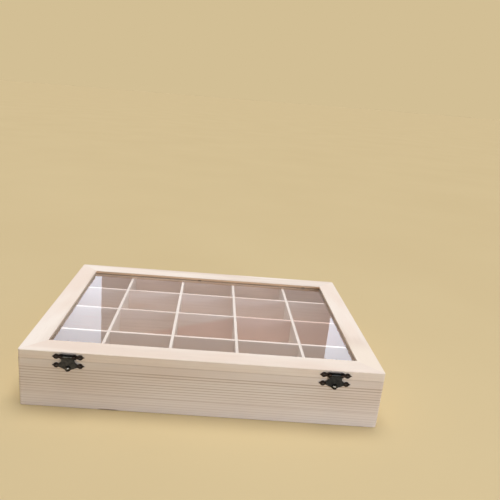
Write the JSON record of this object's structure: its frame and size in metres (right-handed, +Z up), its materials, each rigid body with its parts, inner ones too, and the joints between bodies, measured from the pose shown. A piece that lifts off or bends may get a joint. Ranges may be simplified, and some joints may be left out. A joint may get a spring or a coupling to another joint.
{
  "type": "mineral specimen box",
  "caption": "Shallow pine display case with a grid of open compartments under a hinged, glazed lid held by two swinging hasp latches.",
  "frame": {"origin": "middle of the underside of the bottom panel", "axes": "+X along the length to the right of someone facing the latches, +Y from the latches to the hinges, +Z up"},
  "size_m": [0.35, 0.258, 0.06],
  "materials": {
    "pine": "sanded, unvarnished",
    "plywood": "sanded plywood",
    "clear_pane": "clear, polished",
    "dark_bronze": "dark antique bronze, satin"
  },
  "bodies": {
    "case": {"bottom_panel": "plywood", "front_board": "pine", "back_board": "pine", "left_board": "pine", "right_board": "pine", "front_long_divider": "pine", "middle_long_divider": "pine", "back_long_divider": "pine", "cross_divider_1": "pine", "cross_divider_2": "pine", "cross_divider_3": "pine", "cross_divider_4": "pine", "left_catch_plate": "dark_bronze", "right_catch_plate": "dark_bronze", "left_catch_stud": "dark_bronze", "right_catch_stud": "dark_bronze", "catch_screws": "dark_bronze", "left_hinge_base_leaf": "dark_bronze", "right_hinge_base_leaf": "dark_bronze", "left_hinge_pin": "dark_bronze", "right_hinge_pin": "dark_bronze", "hinge_base_screws": "dark_bronze"},
    "lid": {"lid_front_rail": "pine", "lid_back_rail": "pine", "lid_left_rail": "pine", "lid_right_rail": "pine", "glass_pane": "clear_pane", "front_pane_strip": "pine", "back_pane_strip": "pine", "left_pane_strip": "pine", "right_pane_strip": "pine", "left_latch_plate": "dark_bronze", "right_latch_plate": "dark_bronze", "left_latch_pin": "dark_bronze", "right_latch_pin": "dark_bronze", "latch_screws": "dark_bronze", "left_hinge_lid_leaf": "dark_bronze", "right_hinge_lid_leaf": "dark_bronze", "hinge_lid_screws": "dark_bronze"},
    "left_flap": {"left_latch_flap": "dark_bronze"},
    "right_flap": {"right_latch_flap": "dark_bronze"}
  },
  "joints": [
    {"name": "lid_hinge", "type": "hinge", "parent": "case", "child": "lid", "pos_m": [0, 0.1271, 0.0512], "axis": [-1, 0, 0], "range_deg": [0, 180]},
    {"name": "left_latch", "type": "hinge", "parent": "lid", "child": "left_flap", "pos_m": [-0.1272, -0.1272, 0.0565], "axis": [-1, 0, 0], "range_deg": [0, 180]},
    {"name": "right_latch", "type": "hinge", "parent": "lid", "child": "right_flap", "pos_m": [0.1272, -0.1272, 0.0565], "axis": [-1, 0, 0], "range_deg": [0, 180]}
  ]
}
